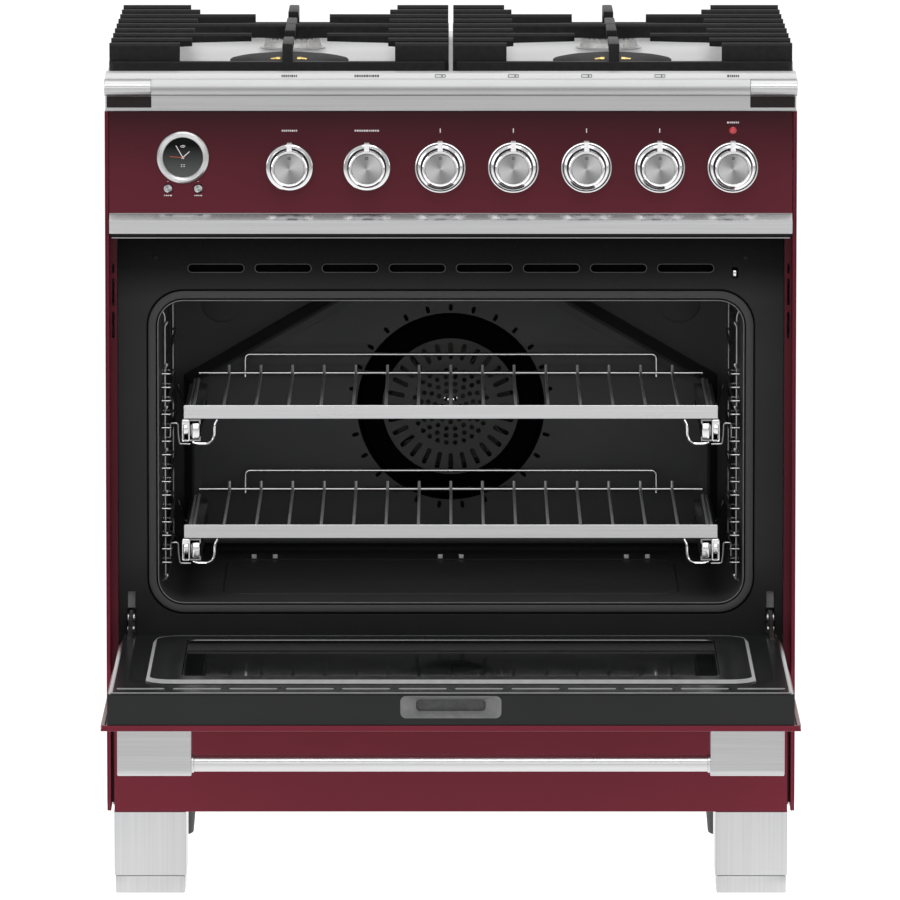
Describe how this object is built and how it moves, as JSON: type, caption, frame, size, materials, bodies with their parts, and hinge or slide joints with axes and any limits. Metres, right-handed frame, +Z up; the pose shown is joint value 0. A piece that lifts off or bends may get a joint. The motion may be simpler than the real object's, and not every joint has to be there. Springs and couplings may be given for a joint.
{
  "type": "freestanding range",
  "caption": "Freestanding range with a gas hob, a control panel of knobs, a convection oven with a drop-down door lying open on its stop, and a warming drawer, on four legs.",
  "frame": {"origin": "on the floor, under the centre of the box of the range as it stands with its door lying open", "axes": "+Z up, +Y from the front of the range to its back, +X to the right seen from the front"},
  "size_m": [0.759, 1.101, 0.938],
  "materials": {
    "red_enamel": "deep red gloss enamel",
    "black_enamel": "charcoal vitreous enamel with a fine speckle",
    "stainless": "brushed along the width",
    "satin_steel": "fine satin",
    "chrome": "polished",
    "cast_iron": "matte black enamel on cast iron",
    "burner_alloy": "bead-blasted",
    "galvanised": "galvanised, dull",
    "brass": "machined",
    "dark_glass": "tinted oven-door glass",
    "dark_plastic": "moulded",
    "seal": "woven heat-resistant seal",
    "white_marking": "printed marks",
    "red_lens": "indicator lens",
    "clock_display": "black clock face"
  },
  "bodies": {
    "chassis": {"side_panel_left": "red_enamel", "side_panel_right": "red_enamel", "rear_panel": "galvanised", "base_pan": "galvanised", "front_frame": "black_enamel", "door_gasket": "seal", "oven_liner": "black_enamel", "fan_baffle": "black_enamel", "fan_motor": "galvanised", "convection_element": "stainless", "grill_element": "stainless", "side_rack_left": "chrome", "side_rack_right": "chrome", "slide_upper_left": "chrome", "slide_upper_right": "chrome", "slide_lower_left": "chrome", "slide_lower_right": "chrome", "control_panel": "red_enamel", "panel_rail": "stainless", "top_trim": "stainless", "hob_top": "stainless", "clock_bezel": "chrome", "gas_manifold": "brass", "burner_front_left": "burner_alloy", "burner_front_right": "burner_alloy", "burner_rear_left": "burner_alloy", "burner_rear_right": "burner_alloy", "leg_sleeve_left": "stainless", "leg_sleeve_right": "stainless"},
    "door": {"door_outer_panel": "red_enamel", "door_inner_panel": "black_enamel", "door_inner_glass": "dark_glass", "door_outer_glass": "dark_glass", "door_handle": "satin_steel", "hinge_arm_left": "chrome", "hinge_arm_right": "chrome"},
    "drawer": {"drawer_front": "red_enamel", "drawer_box": "galvanised"},
    "upper_rack": {"rack_upper": "chrome"},
    "lower_rack": {"rack_lower": "chrome"},
    "fan": {"fan_rotor": "galvanised"},
    "left_grate": {"grate_left": "cast_iron"},
    "right_grate": {"grate_right": "cast_iron"},
    "cancel_button": {"button_cancel": "satin_steel"},
    "remote_button": {"button_remote": "satin_steel"},
    "function_knob": {"knob_function": "chrome"},
    "temperature_knob": {"knob_temperature": "chrome"},
    "burner_1_knob": {"knob_burner_1": "chrome"},
    "burner_2_knob": {"knob_burner_2": "chrome"},
    "burner_3_knob": {"knob_burner_3": "chrome"},
    "burner_4_knob": {"knob_burner_4": "chrome"},
    "warmer_knob": {"knob_warmer": "chrome"},
    "front_left_cap": {"burner_cap_front_left": "cast_iron"},
    "rear_left_cap": {"burner_cap_rear_left": "cast_iron"},
    "front_right_cap": {"burner_cap_front_right": "cast_iron"},
    "rear_right_cap": {"burner_cap_rear_right": "cast_iron"},
    "front_left_foot": {"foot_front_left": "stainless"},
    "rear_left_foot": {"foot_rear_left": "dark_plastic"},
    "front_right_foot": {"foot_front_right": "stainless"},
    "rear_right_foot": {"foot_rear_right": "dark_plastic"}
  },
  "joints": [
    {"name": "door_hinge", "type": "hinge", "parent": "chassis", "child": "door", "pos_m": [0, -0.0835, 0.255], "axis": [1, 0, 0], "range_deg": [-90, 0]},
    {"name": "drawer_slide", "type": "slide", "parent": "chassis", "child": "drawer", "axis": [0, -1, 0], "range_m": [0, 0.38]},
    {"name": "upper_rack_slide", "type": "slide", "parent": "chassis", "child": "upper_rack", "axis": [0, -1, 0], "range_m": [0, 0.3]},
    {"name": "lower_rack_slide", "type": "slide", "parent": "chassis", "child": "lower_rack", "axis": [0, -1, 0], "range_m": [0, 0.3]},
    {"name": "function_knob_turn", "type": "hinge", "parent": "chassis", "child": "function_knob", "pos_m": [-0.1769, -0.0895, 0.8056], "axis": [0, 1, 0], "range_deg": [0, 300]},
    {"name": "temperature_knob_turn", "type": "hinge", "parent": "chassis", "child": "temperature_knob", "pos_m": [-0.0921, -0.0895, 0.8056], "axis": [0, 1, 0], "range_deg": [0, 300]},
    {"name": "burner_1_knob_turn", "type": "hinge", "parent": "chassis", "child": "burner_1_knob", "pos_m": [-0.0116, -0.0895, 0.8056], "axis": [0, -1, 0], "range_deg": [0, 240]},
    {"name": "burner_2_knob_turn", "type": "hinge", "parent": "chassis", "child": "burner_2_knob", "pos_m": [0.0685, -0.0895, 0.8056], "axis": [0, -1, 0], "range_deg": [0, 240]},
    {"name": "burner_3_knob_turn", "type": "hinge", "parent": "chassis", "child": "burner_3_knob", "pos_m": [0.1487, -0.0895, 0.8056], "axis": [0, -1, 0], "range_deg": [0, 240]},
    {"name": "burner_4_knob_turn", "type": "hinge", "parent": "chassis", "child": "burner_4_knob", "pos_m": [0.2289, -0.0895, 0.8056], "axis": [0, -1, 0], "range_deg": [0, 240]},
    {"name": "warmer_knob_turn", "type": "hinge", "parent": "chassis", "child": "warmer_knob", "pos_m": [0.3091, -0.0895, 0.8056], "axis": [0, -1, 0], "range_deg": [0, 240]},
    {"name": "cancel_press", "type": "slide", "parent": "chassis", "child": "cancel_button", "axis": [0, 1, 0], "range_m": [0, 0.0015], "stiffness_N_per_m": 600, "springref_m": -0.0015},
    {"name": "remote_press", "type": "slide", "parent": "chassis", "child": "remote_button", "axis": [0, 1, 0], "range_m": [0, 0.0015], "stiffness_N_per_m": 600, "springref_m": -0.0015},
    {"name": "fan_spin", "type": "hinge", "parent": "chassis", "child": "fan", "pos_m": [0, 0.3705, 0.49], "axis": [0, -1, 0], "continuous": true},
    {"name": "left_grate_lift", "type": "slide", "parent": "chassis", "child": "left_grate", "axis": [0, 0, 1], "range_m": [0, 0.12]},
    {"name": "right_grate_lift", "type": "slide", "parent": "chassis", "child": "right_grate", "axis": [0, 0, 1], "range_m": [0, 0.12]},
    {"name": "front_left_cap_lift", "type": "slide", "parent": "chassis", "child": "front_left_cap", "axis": [0, 0, 1], "range_m": [0, 0.01]},
    {"name": "rear_left_cap_lift", "type": "slide", "parent": "chassis", "child": "rear_left_cap", "axis": [0, 0, 1], "range_m": [0, 0.05]},
    {"name": "front_right_cap_lift", "type": "slide", "parent": "chassis", "child": "front_right_cap", "axis": [0, 0, 1], "range_m": [0, 0.01]},
    {"name": "rear_right_cap_lift", "type": "slide", "parent": "chassis", "child": "rear_right_cap", "axis": [0, 0, 1], "range_m": [0, 0.05]},
    {"name": "front_left_foot_height", "type": "slide", "parent": "chassis", "child": "front_left_foot", "axis": [0, 0, -1], "range_m": [0, 0.02]},
    {"name": "rear_left_foot_height", "type": "slide", "parent": "chassis", "child": "rear_left_foot", "axis": [0, 0, -1], "range_m": [0, 0.02]},
    {"name": "front_right_foot_height", "type": "slide", "parent": "chassis", "child": "front_right_foot", "axis": [0, 0, -1], "range_m": [0, 0.02]},
    {"name": "rear_right_foot_height", "type": "slide", "parent": "chassis", "child": "rear_right_foot", "axis": [0, 0, -1], "range_m": [0, 0.02]}
  ]
}
